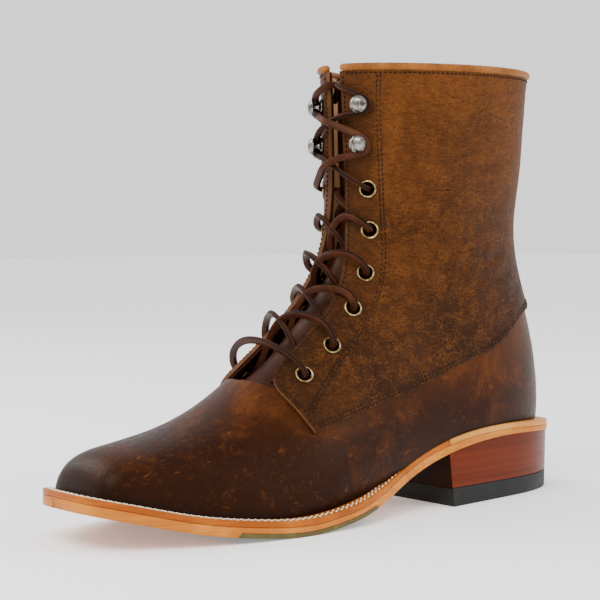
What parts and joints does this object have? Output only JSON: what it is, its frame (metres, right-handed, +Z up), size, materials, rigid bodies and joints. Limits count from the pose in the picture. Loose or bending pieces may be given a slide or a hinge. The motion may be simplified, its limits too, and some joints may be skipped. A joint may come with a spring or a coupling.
{
  "type": "lace-up ankle boot",
  "caption": "Lace-up leather ankle boot with a square toe, stitched welt, leather sole and stacked heel, left foot.",
  "frame": {"origin": "on the floor, under the middle of the boot's length and width", "axes": "+X towards the toe, +Y towards the outer side of the left foot, +Z up"},
  "size_m": [0.312, 0.1052, 0.2277],
  "materials": {
    "bead_leather": "rolled tan leather",
    "black_rubber": "hard rubber",
    "brass": "antique",
    "cork": "ground cork and binder",
    "heel_leather": "painted leather lifts",
    "insole_leather": "vegetable-tanned leather",
    "lace_leather": "waxed leather lace",
    "lining_leather": "smooth natural lining leather",
    "nickel": "antique nickel",
    "olive_rubber": "gum rubber",
    "quarter_leather": "waxed pull-up leather with a crackled grain",
    "shank_steel": "tempered steel",
    "sole_leather": "natural sole leather, waxed edge",
    "stiffener": "stiff leather board",
    "tongue_leather": "smooth leather",
    "trim_leather": "dark leather strip",
    "vamp_leather": "burnished pull-up leather",
    "welt_leather": "natural leather, waxed edge"
  },
  "bodies": {
    "root": {"vamp": "vamp_leather", "quarter_left": "quarter_leather", "quarter_right": "quarter_leather", "back_strip": "trim_leather", "collar_bead": "bead_leather", "facing_left": "lining_leather", "facing_right": "lining_leather", "quarter_lining_left": "lining_leather", "quarter_lining_right": "lining_leather", "vamp_lining": "lining_leather", "side_lining_left": "stiffener", "side_lining_right": "stiffener", "toe_box": "stiffener", "heel_counter": "stiffener", "insole": "insole_leather", "sock_liner": "lining_leather", "cork_filler": "cork", "shank": "shank_steel", "welt": "welt_leather", "heel_rand": "welt_leather", "outsole": "sole_leather", "forefoot_tap": "olive_rubber", "heel_block": "heel_leather", "heel_cap": "black_rubber", "heel_screws": "shank_steel", "eyelets_left": "brass", "eyelets_right": "brass", "speed_hooks_left": "nickel", "speed_hooks_right": "nickel", "lace": "lace_leather"},
    "tongue": {"tongue": "tongue_leather"}
  },
  "joints": [
    {"name": "tongue_swing", "type": "hinge", "parent": "root", "child": "tongue", "pos_m": [0.0615, 0, 0.0575], "axis": [0, -1, 0], "range_deg": [0, 12], "stiffness_Nm_per_rad": 0.3, "springref_deg": -5.73}
  ]
}
